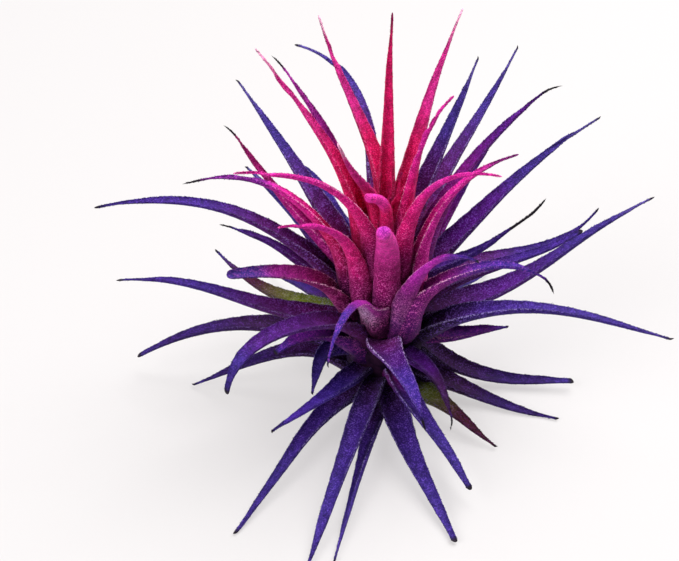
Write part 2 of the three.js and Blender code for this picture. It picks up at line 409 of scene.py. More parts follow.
def skin(line, ending, habit, angle, share):
    """Points of a leaf at an angle round its section and a share of its length.

    The place across is the angle's cosine and the side is its sine. The arc has the radius that makes it as
    broad as the leaf, and the skin stands off it by the thickness times the sine. As the end closes, its arc
    moves in towards the middle of the tube, so a shut leaf ends in a dome. A shut leaf also settles into the
    line of its packed blade."""
    at, side, up = middle(line, ending, habit, share)
    close = np.sqrt(np.clip(1 - past_end(share, ending) ** 2, 0, 1))
    width = half_width(line, ending, habit, share, close)
    stoutest = STOUTNESS * width + LEAST_THICKNESS
    thickness = np.minimum(along_line(line, "thickness", share), stoutest) * close
    bend = along_line(line, "bend", share)
    radius = width / np.sin(np.minimum(bend, math.pi / 2))
    lower_skin = np.minimum((1 - UPPER_BULGE) * thickness, 0.5 * radius)
    radius -= SLIMMING * lower_skin * ease(bend, TIP_BEND, SHEATH_BEND)
    dome = radius * (1 / np.maximum(close, LEAST_CLOSE) - 1) * ease(bend, BLADE_BEND, SHEATH_BEND)
    at = at + up * dome[..., None]
    settled = SHUT_SETTLING * radius * ease(bend, SHEATH_BEND, SHUT_BEND) * ease(share, *SETTLING_SPAN)
    at = at - up * settled[..., None]
    bulge = np.where(np.sin(angle) > 0, UPPER_BULGE, 1 - UPPER_BULGE)
    off = thickness * bulge * np.sin(angle)
    turned = bend * np.cos(angle)
    x = (radius - off) * np.sin(turned)
    y = radius - (radius - off) * np.cos(turned)
    points = at + side * x[..., None] + up * y[..., None]
    points[..., 2] = np.maximum(points[..., 2], TABLE_CLEARANCE)
    return points


print("a tip is at least", LEAST_THICKNESS / MM, "mm thick before it closes")

# %% [markdown]
# ## Grids
# The skin becomes a mesh as a grid of angles and shares, with a fan of triangles at each end. Each point
# also keeps its marks, which the finish reads later: how far along the leaf it is, how far across, and on
# which side.

# %% Turn a leaf's skin into a closed grid
AROUND = 28
STATIONS = 92
LAST_STATION = 0.9995
CROWDING = 1.25


def tube_faces(rows, columns):
    """The triangles of a closed grid whose first and last vertices, after the rows, close its two ends."""
    row, column = np.meshgrid(np.arange(rows - 1), np.arange(columns), indexing="ij")
    a = row * columns + column
    b = row * columns + (column + 1) % columns
    c, d = a + columns, b + columns
    wall = np.stack([a, b, d, a, d, c], axis=-1).reshape(-1, 3)
    ring = np.arange(columns)
    following = (ring + 1) % columns
    first, last = rows * columns, rows * columns + 1
    start = np.stack([np.full(columns, first), following, ring], axis=-1)
    base = (rows - 1) * columns
    end = np.stack([np.full(columns, last), base + ring, base + following], axis=-1)
    return np.vstack([wall, start, end])


def marks_at(angle, share):
    """The marks of points on a leaf: the share of its length, the place across it and the side of it."""
    return np.stack([share, np.cos(angle), np.sin(angle)], axis=-1)


def leaf_grid(surface):
    """A leaf's vertices, triangles and marks. Stations crowd towards the tip, where the leaf is finest."""
    stations = 1 - (1 - np.linspace(0, LAST_STATION, STATIONS)) ** CROWDING
    angles = np.linspace(0, 2 * math.pi, AROUND, endpoint=False)
    share, angle = np.meshgrid(stations, angles, indexing="ij")
    grid = surface(angle, share)
    points = np.vstack([grid.reshape(-1, 3), grid[0].mean(axis=0), grid[-1].mean(axis=0)])
    marks = np.vstack([marks_at(angle, share).reshape(-1, 3), (0, 0, 0), (1, 0, 0)])
    return points, tube_faces(STATIONS, AROUND), marks


print("each leaf's grid has", len(tube_faces(STATIONS, AROUND)), "triangles")

# %% [markdown]
# ## Scales
# Air plants drink through tiny scales that cover every leaf and make it look frosted. They stand up along
# the edges like fine teeth, so they are modelled: each is a spike of four triangles that leans towards
# the leaf's tip.

# %% Strew a leaf with scales
STEP = 1e-3
SCALES_PER_MM = 16
EDGE_SCALES_PER_MM = 7
EDGE_BAND = 0.14
SCALES_END = 0.985
EDGE_SCALES_END = 0.98
SCALE_LENGTH = 0.34 * MM
SCALE_LIFT = 0.14 * MM
SCALE_WIDTH = 0.15 * MM
SCALE_SIZES = (0.6, 1.3)
SCALE_LEAN = 0.35
SCALE_SINK = 0.05 * MM
SPIKE_CORNERS = 4
SPIKE_FACES = np.array([[0, 2, 1], [0, 1, 3], [1, 2, 3], [2, 0, 3]])


def scattered(line, draw):
    """Angles and shares for a leaf's scales: all over it, with extra ones in a row along each edge."""
    span = line["length"] / MM
    spread = int(span * SCALES_PER_MM)
    edge = int(span * EDGE_SCALES_PER_MM)
    angle = np.concatenate([draw.uniform(0, 2 * math.pi, spread), draw.normal(0, EDGE_BAND, edge)])
    angle[spread::2] += math.pi
    all_over = draw.uniform(0, SCALES_END, spread)
    on_edges = draw.uniform(line["root"], EDGE_SCALES_END, edge)
    return angle, np.concatenate([all_over, on_edges])


def scales_on(surface, angle, share, draw):
    """Spikes on a surface: three corners just under it and one above, towards the tip. Directions come from
    the difference between a point and its neighbours a small step away."""
    here = surface(angle, share)
    forward = unit(surface(angle, share + STEP) - here)
    beside = surface(angle + STEP, share) - here
    normal = unit(np.cross(beside, forward))
    beside = unit(np.cross(forward, normal))
    size = draw.uniform(*SCALE_SIZES, len(here))[:, None]
    lean = draw.normal(0, SCALE_LEAN, len(here))[:, None]
    sunk = here - normal * SCALE_SINK
    left = sunk - beside * SCALE_WIDTH * size
    right = sunk + beside * SCALE_WIDTH * size
    front = sunk + forward * SCALE_WIDTH * size
    peak = here + (forward + beside * lean) * SCALE_LENGTH * size + normal * SCALE_LIFT * size
    points = np.stack([left, right, front, peak], axis=1).reshape(-1, 3)
    first = np.arange(len(here))[:, None, None] * SPIKE_CORNERS
    marks = np.repeat(marks_at(angle, share), SPIKE_CORNERS, axis=0)
    return points, (first + SPIKE_FACES).reshape(-1, 3), marks


print("scales:", SCALES_PER_MM + EDGE_SCALES_PER_MM, "to a millimetre of leaf")

# %% [markdown]
# ## From arrays to pieces
# The arrays go into a mesh in one go, which is far faster than a loop over vertices. A leaf's own way of
# growing is drawn once from its seed, so every run of this lesson gives the same plant.

# %% Make meshes and put them in the scene
CURL_DOWN = -1
CURL_UP = 0.6
FAINTEST_GLINT = 0.2
DRYING = (-0.02, 0.01)


def new_mesh(name, points, faces, **marks):
    """A smooth mesh of triangles, with a vector attribute for each set of marks."""
    mesh = bpy.data.meshes.new(name)
    mesh.vertices.add(len(points))
    mesh.vertices.foreach_set("co", points.astype(np.float32).ravel())
    mesh.loops.add(faces.size)
    mesh.loops.foreach_set("vertex_index", faces.astype(np.int32).ravel())
    mesh.polygons.add(len(faces))
    mesh.polygons.foreach_set("loop_start", np.arange(0, faces.size, 3, dtype=np.int32))
    mesh.update(calc_edges=True)
    mesh.shade_smooth()
    for key, values in marks.items():
        layer = mesh.attributes.new(key, "FLOAT_VECTOR", "POINT")
        layer.data.foreach_set("vector", values.astype(np.float32).ravel())
    return mesh


def put_in(name, mesh, material, replaced):
    """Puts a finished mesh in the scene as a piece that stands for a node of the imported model."""
    thing = bpy.data.objects.new(name, mesh)
    bpy.context.scene.collection.objects.link(thing)
    mesh.materials.append(material)
    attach(thing, "root")
    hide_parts(replaced)


def habit_of(draw, twist):
    """One leaf's own way of growing, drawn once: its waves, its twist and the way its thread curls."""
    return {
        "twist": math.radians(twist),
        "twist_waves": draw.uniform(0, 2 * math.pi, 3),
        "side_waves": draw.uniform(0, 2 * math.pi, 3),
        "up_waves": draw.uniform(0, 2 * math.pi, 3),
        "curl_side": draw.uniform(-1, 1),
        "curl_up": draw.uniform(CURL_DOWN, CURL_UP),
    }


def leaf_parts(line, ending, twist, seed):
    """A leaf's grid and its scales together: points, triangles, and the two sets of marks for its finish.

    The first set is the place. The second is the glint and the wear: the painted glint of each scale, how
    dry the leaf is there, and one draw for the whole leaf."""
    draw = np.random.default_rng(seed)
    habit = habit_of(draw, twist)

    def surface(angle, share):
        return skin(line, ending, habit, angle, share)

    points, faces, marks = leaf_grid(surface)
    spikes, spike_faces, spike_marks = scales_on(surface, *scattered(line, draw), draw)
    places = np.vstack([marks, spike_marks])
    # How much each scale glints: a painted glint.
    glints = draw.uniform(FAINTEST_GLINT, 1, len(spikes) // SPIKE_CORNERS)
    glint = np.concatenate([np.zeros(len(points)), np.repeat(glints, SPIKE_CORNERS)])
    dry_from = ENDINGS[ending][-1]
    dry = ease(places[:, 0], dry_from + DRYING[0], dry_from + DRYING[1])
    own = np.full(len(places), draw.uniform(0, 1))
    wear = np.stack([glint, dry, own], axis=-1)
    return np.vstack([points, spikes]), np.vstack([faces, spike_faces + len(points)]), places, wear


print("a leaf's mesh carries two sets of marks, its place and its wear")

# %% [markdown]
# ## The dyes
# The dye went on wet, crimson and pink over the heart and violet and blue from outside, so every leaf
# runs from the colour of its sheath to the colour of its tip. A few named runs of dye cover all the
# leaves.

# %% Name the dyes and the runs of dye
DYES = {
    "scarlet": "#d40a5a",
    "ruby": "#b80a52",
    "crimson": "#c0084e",
    "rose": "#ac1c70",
    "cerise": "#cc0e6c",
    "pink": "#c4188c",
    "candy": "#d02c94",
    "fuchsia": "#be1888",
    "mauve": "#a4209c",
    "raspberry": "#a61078",
    "mulberry": "#74106c",
    "claret": "#880a5a",
    "wine": "#600250",
    "berry": "#7a0c70",
    "plum": "#640040",
    "grape": "#66127a",
    "purple": "#4c0a54",
    "gloam": "#460768",
    "iris": "#32196c",
    "violet": "#3e0e62",
    "indigo": "#301f6c",
    "blue": "#51448a",
    "cobalt": "#361e7e",
    "royal": "#4a2c9c",
    "ink": "#2e1262",
    "dark": "#260f4e",
    "night": "#2c0434",
    "black": "#100614",
    "olive": "#586016",
    "bark": "#3c0a20",
    "blush": "#f2b8d4",
    "orchid": "#8a2eb8",
    "frost": "#f070c4",
    "lace": "#bc84e8",
    "mist": "#a078f0",
}
RUNS = {
    # The dye of the sheath, the lower blade, the upper blade, the tip and the scales, how thick the bloom
    # is, where the colour of the tip begins, and how pale the painted highlight on one side of the sheath is.
    "rose": ("scarlet", "crimson", "rose", "blush", "frost", 0.5, 0.86, 0.0),
    "ruby": ("claret", "crimson", "ruby", "plum", "frost", 0.4, 0.89, 0.0),
    "core": ("claret", "claret", "ruby", "candy", "frost", 0.7, 0.7, 0.0),
    "pink": ("claret", "cerise", "pink", "blush", "frost", 1.0, 0.95, 0.0),
    "fuchsia": ("fuchsia", "fuchsia", "fuchsia", "mulberry", "frost", 1.0, 0.75, 0.0),
    "flare": ("wine", "ruby", "pink", "grape", "frost", 0.8, 0.6, 0.0),
    "lilac": ("wine", "claret", "candy", "orchid", "frost", 0.9, 0.955, 0.0),
    "sunset": ("wine", "claret", "mulberry", "indigo", "frost", 1.0, 0.68, 0.1),
    "twilight": ("grape", "mulberry", "cobalt", "cobalt", "frost", 0.8, 0.68, 0.0),
    "dawn": ("wine", "purple", "violet", "indigo", "mist", 0.5, 0.75, 0.0),
    "flush": ("berry", "ink", "indigo", "indigo", "mist", 0.6, 0.85, 0.0),
    "ember": ("raspberry", "raspberry", "claret", "black", "frost", 0.6, 0.89, 0.0),
    "gloam": ("gloam", "gloam", "gloam", "cobalt", "frost", 0.6, 0.8, 0.0),
    "dusk": ("wine", "purple", "iris", "indigo", "mist", 0.5, 0.85, 0.0),
    "shade": ("berry", "berry", "gloam", "black", "mist", 0.4, 0.8, 0.0),
    "violet": ("claret", "purple", "indigo", "blue", "mist", 0.6, 0.8, 0.0),
    # A run lightened as painted light, for a leaf that lies in shade.
    "bright": ("night", "cobalt", "royal", "indigo", "mist", 0.5, 0.8, 0.0),
    "crest": ("grape", "mulberry", "mauve", "cobalt", "frost", 0.7, 0.72, 0.1),
    "slate": ("night", "night", "dark", "indigo", "mist", 0.4, 0.8, 0.0),
    "murk": ("gloam", "gloam", "night", "ink", "mist", 0.4, 0.85, 0.0),
    "heather": ("claret", "claret", "berry", "mauve", "frost", 0.6, 0.8, 0.0),
    "sky": ("purple", "gloam", "indigo", "blue", "mist", 0.5, 0.8, 0.0),
    "dim": ("gloam", "ink", "ink", "black", "mist", 0.3, 0.7, 0.0),
    "indigo": ("night", "ink", "indigo", "indigo", "mist", 0.6, 0.85, 0.0),
    "olive": ("olive", "olive", "bark", "indigo", "mist", 0.4, 0.75, 0.0),
    "bulge": ("wine", "mauve", "mauve", "cobalt", "frost", 1.0, 0.5, 0.75),
    "spangle": ("berry", "gloam", "ink", "cobalt", "lace", 1.3, 0.5, 0.0),
    "deep": ("black", "night", "ink", "ink", "mist", 0.2, 0.85, 0.0),
    "moss": ("night", "olive", "bark", "bark", "mist", 0.4, 0.85, 0.0),
}


def dyed(name):
    """A named dye as the linear colour that the shader needs, from its two hex digits for each channel."""
    channels = [int(DYES[name][k : k + 2], 16) / 255 for k in (1, 3, 5)]
    return (*[c / 12.92 if c <= 0.04045 else ((c + 0.055) / 1.055) ** 2.4 for c in channels], 1)


print(len(DYES), "dyes in", len(RUNS), "runs")

# %% [markdown]
# ## Writing node trees
# A finish is a tree of nodes. A small helper keeps the lesson short: each of its calls adds one node,
# joins its inputs and gives back its output. Most of the finish is smooth steps, so their ends are named
# in one table.

# %% Name the steps of the finish and write the helper
STEPS = {
    # Where a step begins and ends on what it reads, and then, unless it runs from 0 to 1, its two values.
    "lower dye": (0.28, 0.52),
    "upper dye": (0.5, 0.86),
    "tip dye": (0.15, 0.33),
    "mottled": (0.3, 0.7, 0.8, 1.2),
    "grained": (0.0, 1.0, 0.62, 1.38),
    # Painted shade: darker towards the root of the sheath.
    "painted shade at root": (0.0, 0.3, 0.35, 1.0),
    "low": (0.6, 0.1),
    # Painted shade: darker towards the sides of the sheath, low on the leaf.
    "painted shade at sides": (0.4, 0.95, 0.0, 0.5),
    "bloom from root": (0.02, 0.25, 0.2, 1.0),
    "bloom under": (0.1, -0.6, 0.8, 1.0),
    "bloom in drifts": (0.35, 0.65, 0.4, 1.0),
    "bloom on grains": (0.6, 0.97, 0.0, 0.9),
    # A painted highlight: a pale patch on one side of the sheath.
    "highlight side": (0.5, -0.4),
    "highlight from": (0.08, 0.2),
    "highlight to": (0.44, 0.3),
    "highlight in clouds": (0.4, 0.6, 0.6, 1.0),
    "highlight on grains": (0.25, 0.85, 0.1, 1.0),
    "edge": (0.93, 0.985),
    "dots on grains": (0.45, 0.8),
    "dots along": (0.75, 0.45, 0.12, 1.0),
    "dots with bloom": (0.4, 1.0, 0.1, 1.0),
    "glints": (0.75, 1.0),
    "glints along": (0.9, 0.1, 0.12, 0.45),
    "rough": (0.0, 1.0, 0.55, 0.8),
    "stem mottled": (0.3, 0.7),
}


class Sheet:
    """A small helper to write a node tree: each call adds one node and gives back its output."""

    def __init__(self, tree):
        self.tree = tree

    def add(self, kind, output, inputs, **settings):
        """Any node: its kind, the output to give back, and what goes into its inputs, a socket or a value."""
        made = self.tree.nodes.new(kind)
        for key, value in settings.items():
            setattr(made, key, value)
        for key, value in inputs.items():
            if isinstance(value, bpy.types.NodeSocket):
                self.tree.links.new(value, made.inputs[key])
            else:
                made.inputs[key].default_value = value
        return made.outputs[output]

    def math(self, operation, a, b=0.0, c=0.0):
        """One sum of up to three numbers."""
        return self.add("ShaderNodeMath", 0, {0: a, 1: b, 2: c}, operation=operation)

    def times(self, product, *factors):
        """The product of any number of factors."""
        for factor in factors:
            product = self.math("MULTIPLY", product, factor)
        return product

    def step(self, value, name):
        """One of the named steps, smooth between its two ends."""
        low, high, start, end = (*STEPS[name], 0.0, 1.0)[:4]
        inputs = {"Value": value, "From Min": low, "From Max": high, "To Min": start, "To Max": end}
        return self.add("ShaderNodeMapRange", 0, inputs, interpolation_type="SMOOTHSTEP")

    def mix(self, share, a, b):
        """Two colours mixed, with the share of the second."""
        return self.add("ShaderNodeMix", 2, {0: share, 6: a, 7: b}, data_type="RGBA")


print(len(STEPS), "named steps")

# %% [markdown]
# ## The finish of a leaf
# One node group works out the look of any leaf from the marks on its mesh. Each effect is a function that
# adds its nodes. The dye runs along the leaf, and noise blurs its borders. Grains the size of the scales
# lighten and darken it, and painted shade darkens it down the sheath and towards its sides. A bloom of
# pale grains lies on the sheaths, both edges have a dotted pale line, and one side of a few sheaths has a
# pale painted highlight.

# %% Write the effects of a dyed leaf
GRAIN = 4200
MOTTLE = 420
MOTTLE_DETAIL = 2.0
CLOUD = 90
CLOUD_DETAIL = 3.0
CLOUD_SHIFT = 0.22
OWN_SHIFT = 0.08
LOW_BLOOM = 0.65
BLOOM_EVERYWHERE = 0.35
DOT_PALENESS = 0.35
WHITE = (1, 1, 1, 1)
# The pale colour of the painted highlight on one side of a sheath.
PAINTED_HIGHLIGHT_COLOR = (0.72, 0.55, 0.78, 1)
DRY_COLOR = (0.012, 0.008, 0.014, 1)


def marks_read(sheet):
    """The marks on a leaf's mesh, as six outputs: along, across and face, then glint, dry and own."""
    found = []
    for name in ("place", "wear"):
        vector = sheet.add("ShaderNodeAttribute", "Vector", {}, attribute_name=name)
        split = sheet.tree.nodes.new("ShaderNodeSeparateXYZ")
        sheet.tree.links.new(vector, split.inputs[0])
        found += list(split.outputs)
    return found


def patterns(sheet):
    """Noise at three sizes: clouds, mottling and grains. Each grain has a drawn value and is a dome."""
    spot = sheet.add("ShaderNodeTexCoord", "Object", {})
    cloud = sheet.add("ShaderNodeTexNoise", 0, {"Vector": spot, "Scale": CLOUD, "Detail": CLOUD_DETAIL})
    mottle = sheet.add("ShaderNodeTexNoise", 0, {"Vector": spot, "Scale": MOTTLE, "Detail": MOTTLE_DETAIL})
    cells = sheet.add("ShaderNodeTexVoronoi", "Color", {"Vector": spot, "Scale": GRAIN})
    domes = sheet.add("ShaderNodeTexVoronoi", "Distance", {"Vector": spot, "Scale": GRAIN})
    return cloud, mottle, sheet.add("ShaderNodeSeparateColor", 0, {0: cells}), domes


def dye_along(sheet, given, along, cloud, own):
    """The run of dye, with its borders moved about by the clouds and by each leaf's own draw."""
    run = sheet.math("MULTIPLY_ADD", cloud, CLOUD_SHIFT, along)
    run = sheet.math("MULTIPLY_ADD", own, OWN_SHIFT, run)
    color = sheet.mix(sheet.step(run, "lower dye"), given["Sheath"], given["Lower"])
    color = sheet.mix(sheet.step(run, "upper dye"), color, given["Upper"])
    past_start = sheet.math("SUBTRACT", run, given["Tip Start"])
    return sheet.mix(sheet.step(past_start, "tip dye"), color, given["Tip"])


def tone_and_painted_shade_at(sheet, along, across, mottle, drawn):
    """How light the dye is: mottling times grain, then painted shade, darker down the sheath and towards its
    sides.
    """
    sides = sheet.step(sheet.math("ABSOLUTE", across), "painted shade at sides")
    dark = sheet.times(sides, sheet.step(along, "low"))
    light = sheet.math("MULTIPLY_ADD", dark, -1.0, 1.0)
    grained = sheet.times(sheet.step(mottle, "mottled"), sheet.step(drawn, "grained"))
    return sheet.times(grained, sheet.step(along, "painted shade at root"), light)


def bloom_at(sheet, given, along, face, mottle, drawn):
    """The bloom's share: bright grains, most of them low on the leaf and on its underside, in drifts."""
    low = sheet.math("MULTIPLY_ADD", sheet.step(along, "low"), LOW_BLOOM, BLOOM_EVERYWHERE)
    low = sheet.times(low, sheet.step(along, "bloom from root"), sheet.step(face, "bloom under"))
    drifts = sheet.times(sheet.step(mottle, "bloom in drifts"), given["Bloom"])
    return sheet.times(low, drifts, sheet.step(drawn, "bloom on grains"))


def painted_highlight_at(sheet, given, along, across, cloud, drawn):
    """The painted highlight's share: a pale patch on one side of the sheath, in clouds and on grains."""
    patch = sheet.times(sheet.step(across, "highlight side"), sheet.step(along, "highlight from"))
    patch = sheet.times(patch, sheet.step(along, "highlight to"))
    strength = sheet.times(given["Painted Highlight"], sheet.step(cloud, "highlight in clouds"))
    return sheet.times(patch, strength, sheet.step(drawn, "highlight on grains"))


def dots_at(sheet, given, along, across, drawn):
    """The dotted edge's share: some of the grains along both edges, more of them low on the leaf."""
    edge = sheet.step(sheet.math("ABSOLUTE", across), "edge")
    dots = sheet.times(edge, sheet.step(drawn, "dots on grains"), sheet.step(along, "dots along"))
    return sheet.times(dots, sheet.step(given["Bloom"], "dots with bloom"))


print("clouds", round(1000 / CLOUD), "mm and grains", round(1000 / GRAIN, 2), "mm across")

# %% [markdown]
# The group lays these effects over one another: the dye and its painted shade first, then the bloom, the
# painted highlight on one side, the dotted edge, the scales that catch the light, and the dry end of some
# leaves.

# %% Build the node group for a dyed leaf
DYE_SOCKETS = ("Sheath", "Lower", "Upper", "Tip", "Scurf")
# The last value is how strong the painted highlight on one side of the sheath is.
VALUE_SOCKETS = ("Bloom", "Tip Start", "Painted Highlight")


def leaf_group():
    """The group: a run of dye and its values go in, and colour, roughness and height come out."""
    tree = bpy.data.node_groups.new("dyed_leaf", "ShaderNodeTree")
    for name in DYE_SOCKETS:
        tree.interface.new_socket(name, in_out="INPUT", socket_type="NodeSocketColor")
    for name in VALUE_SOCKETS:
        tree.interface.new_socket(name, in_out="INPUT", socket_type="NodeSocketFloat")
    tree.interface.new_socket("Color", in_out="OUTPUT", socket_type="NodeSocketColor")
    tree.interface.new_socket("Roughness", in_out="OUTPUT", socket_type="NodeSocketFloat")
    tree.interface.new_socket("Height", in_out="OUTPUT", socket_type="NodeSocketFloat")
    sheet = Sheet(tree)
    given = tree.nodes.new("NodeGroupInput").outputs
    along, across, face, glint, dry, own = marks_read(sheet)
    cloud, mottle, drawn, domes = patterns(sheet)

    color = dye_along(sheet, given, along, cloud, own)
    # Mottling and grain, then painted shade down the sheath and towards its sides.
    shade = tone_and_painted_shade_at(sheet, along, across, mottle, drawn)
    grey = sheet.add("ShaderNodeCombineXYZ", 0, {0: shade, 1: shade, 2: shade})
    color = sheet.add("ShaderNodeVectorMath", 0, {0: color, 1: grey}, operation="MULTIPLY")
    color = sheet.mix(bloom_at(sheet, given, along, face, mottle, drawn), color, given["Scurf"])
    # A painted highlight on one side of a few sheaths.
    color = sheet.mix(painted_highlight_at(sheet, given, along, across, cloud, drawn), color, PAINTED_HIGHLIGHT_COLOR)
    pale = sheet.mix(DOT_PALENESS, given["Scurf"], WHITE)
    color = sheet.mix(dots_at(sheet, given, along, across, drawn), color, pale)
    bright = sheet.times(sheet.step(glint, "glints"), sheet.step(along, "glints along"))
    color = sheet.mix(bright, color, given["Scurf"])
    color = sheet.mix(dry, color, DRY_COLOR)

    leave = tree.nodes.new("NodeGroupOutput").inputs
    tree.links.new(color, leave["Color"])
    tree.links.new(sheet.step(drawn, "rough"), leave["Roughness"])
    tree.links.new(sheet.math("MULTIPLY_ADD", domes, -1.0, 1.0), leave["Height"])
    return tree


LEAF_GROUP = leaf_group()
print("leaf group with", len(LEAF_GROUP.nodes), "nodes")

# %% [markdown]
# Each run of dye has a material of its own. The group gives it what changes over the leaf, and the soft,
# velvety sheen of the scales is set on the shader itself.

# %% Build one material for each run of dye
BUMP_STRENGTH = 0.6
BUMP_DISTANCE = 0.06 * MM
SHEEN = 0.02
SHEEN_ROUGHNESS = 0.5
SHEEN_TINT = (0.9, 0.75, 0.95, 1)
LEAF_GLOSS = 0.1


def leaf_material(name):
    """The material of one run of dye: the group's outputs and the sheen, joined in one shader."""
    material = bpy.data.materials.new(f"leaf_{name}")
    material.use_nodes = True
    tree = material.node_tree
    shader = tree.nodes["Principled BSDF"]
    group = tree.nodes.new("ShaderNodeGroup")
    group.node_tree = LEAF_GROUP
    for socket, dye in zip(DYE_SOCKETS, RUNS[name]):
        group.inputs[socket].default_value = dyed(dye)
    for socket, value in zip(VALUE_SOCKETS, RUNS[name][-3:]):
        group.inputs[socket].default_value = value
    bump = tree.nodes.new("ShaderNodeBump")
    bump.inputs["Strength"].default_value = BUMP_STRENGTH
    bump.inputs["Distance"].default_value = BUMP_DISTANCE
    tree.links.new(group.outputs["Color"], shader.inputs["Base Color"])
    tree.links.new(group.outputs["Roughness"], shader.inputs["Roughness"])
    tree.links.new(group.outputs["Height"], bump.inputs["Height"])
    tree.links.new(bump.outputs["Normal"], shader.inputs["Normal"])
    shader.inputs["Sheen Weight"].default_value = SHEEN
    shader.inputs["Sheen Roughness"].default_value = SHEEN_ROUGHNESS
    shader.inputs["Sheen Tint"].default_value = SHEEN_TINT
    shader.inputs["Specular IOR Level"].default_value = LEAF_GLOSS
    return material


leaf_materials = {name: leaf_material(name) for name in RUNS}
print(len(leaf_materials), "leaf materials")

# %% [markdown]
# ## Every leaf
# Each row says how one leaf looks: its run of dye, how it ends and how far it twists on its way out.

# %% Grow the leaves
LEAVES = {
    "leaf_low_01": ("indigo", "fine", 4),
    "leaf_low_02": ("slate", "fine", -10),
    "leaf_low_03": ("slate", "fine", 12),
    "leaf_low_04": ("indigo", "fine", 10),
    "leaf_low_05": ("indigo", "blunt", -6),
    "leaf_low_06": ("indigo", "blunt", 10),
    "leaf_low_07": ("slate", "blunt", -4),
    "leaf_low_08": ("indigo", "fine", -12),
    "leaf_low_09": ("deep", "thread", 8),
    "leaf_low_10": ("indigo", "fine", 16),
    "leaf_low_11": ("moss", "fine", -6),
    "leaf_low_12": ("slate", "blunt", 6),
    "leaf_low_13": ("flush", "blunt", -8),
    "leaf_low_14": ("gloam", "fine", 10),
    "leaf_low_15": ("olive", "fine", 15),
    # A lighter run of dye: the leaf's own colour, lightened as painted light where this leaf lies in shade.
    "leaf_low_16": ("bright", "fine", 8),
    "leaf_low_17": ("indigo", "fine", -4),
    "leaf_low_18": ("indigo", "fine", 10),
    "leaf_mid_01": ("dusk", "fine", 6),
    "leaf_mid_02": ("indigo", "fine", -14),
    "leaf_mid_03": ("dusk", "fine", 15),
    "leaf_mid_04": ("murk", "thread", -4),
    "leaf_mid_05": ("spangle", "thread", 4),
    "leaf_mid_06": ("dusk", "fine", -8),
    "leaf_mid_07": ("dawn", "blunt", 4),
    "leaf_mid_08": ("sky", "fine", -15),
    "leaf_mid_09": ("indigo", "fine", 10),
    "leaf_mid_10": ("dawn", "thread", -12),
    "leaf_mid_11": ("gloam", "blunt", 4),
    "leaf_mid_12": ("twilight", "thread", 4),
    "leaf_mid_13": ("indigo", "thread", -10),
    "leaf_mid_14": ("shade", "thread", 8),
    "leaf_mid_15": ("dusk", "fine", -8),
    "leaf_mid_16": ("dusk", "blunt", 4),
    "leaf_mid_17": ("bulge", "fine", 4),
    "leaf_mid_18": ("sunset", "stub", -4),
    "leaf_mid_19": ("crest", "fine", 6),
    "leaf_mid_20": ("dim", "whip", -12),
    "leaf_mid_21": ("violet", "fine", 10),
    "leaf_mid_22": ("sky", "fine", 14),
    "leaf_mid_23": ("violet", "fine", -10),
    "leaf_in_01": ("flare", "thread", 10),
    "leaf_in_02": ("ember", "thread", -12),
    "leaf_in_03": ("lilac", "finger", 4),
    "leaf_in_04": ("fuchsia", "faded", -10),
    "leaf_in_05": ("pink", "faded", 12),
    "leaf_in_06": ("violet", "fine", -10),
    "leaf_in_07": ("violet", "fine", 10),
    "leaf_in_08": ("pink", "faded", -12),
    "leaf_in_09": ("shade", "thread", 14),
    "leaf_in_10": ("pink", "faded", 10),
    "leaf_in_11": ("violet", "fine", -14),
    "leaf_in_12": ("core", "stub", 4),
    "leaf_in_13": ("heather", "thread", -8),
    "leaf_in_14": ("rose", "faded", 12),
    "leaf_in_15": ("rose", "faded", -10),
    "leaf_in_16": ("rose", "faded", 10),
    "leaf_in_17": ("pink", "faded", -12),
}

triangles = 0
for seed, (name, (run, ending, twist)) in enumerate(LEAVES.items()):
    points, faces, places, wear = leaf_parts(lines[name], ending, twist, seed)
    mesh = new_mesh(f"fine_{name}", points, faces, place=places, wear=wear)
    put_in(f"fine_{name}", mesh, leaf_materials[run], name)
    triangles += len(faces)
print(len(LEAVES), "leaves,", triangles, "triangles")

# %% [markdown]
# ## The heart
# The youngest leaves stand straight up round the growing point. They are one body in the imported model, so
# their lines are given here, by the turn, reach and height of each tip, as that body was drawn.

# %% Grow the heart
HEART_LEAVES = [
    # The turn, reach and height of a young leaf's tip, and its run of dye.
    (-128, 19, 89, "rose"),
    (85, 15, 106.5, "ruby"),
    (-30, 7, 72, "ruby"),
    (170, 7, 68, "ruby"),
    (40, 5, 68, "ruby"),
    (-80, 5, 66, "ruby"),
]
HEART_ROOT = np.array((1.6, 50.5)) * MM
HEART_HALF = 2.3 * MM
HEART_RISE = math.radians(86)
HEART_FALL = math.radians(-70)
HEART_TWIST = 8
HEART_SEED = 100
HANDLE_SHARE = 0.42
WIDTH_SHARES = ((0, 0.08, 0.16, 0.32, 0.55, 0.78, 0.93, 1), (0.8, 0.96, 1, 0.76, 0.5, 0.29, 0.15, 0.1))


def around(turn, reach, height):
    """The point at a turn about the stem's axis, a reach out from it and a height."""
    return np.array((reach * math.cos(turn), reach * math.sin(turn), height))


def heart_curve(turn, reach, height):
    """A young leaf's midrib as a cubic's coefficients, from the four points of its Bezier curve."""
    turn = math.radians(turn)
    root = around(turn, *HEART_ROOT)
    tip = around(turn, reach * MM, height * MM)
    handle = HANDLE_SHARE * np.linalg.norm(tip - root)
    away = tip - root
    heading = math.atan2(away[1], away[0])
    a = root + around(turn, math.cos(HEART_RISE), math.sin(HEART_RISE)) * handle
    b = tip - around(heading, math.cos(HEART_FALL), -math.sin(HEART_FALL)) * handle
    return np.array([tip - 3 * b + 3 * a - root, 3 * b - 6 * a + 3 * root, 3 * a - 3 * root, root])


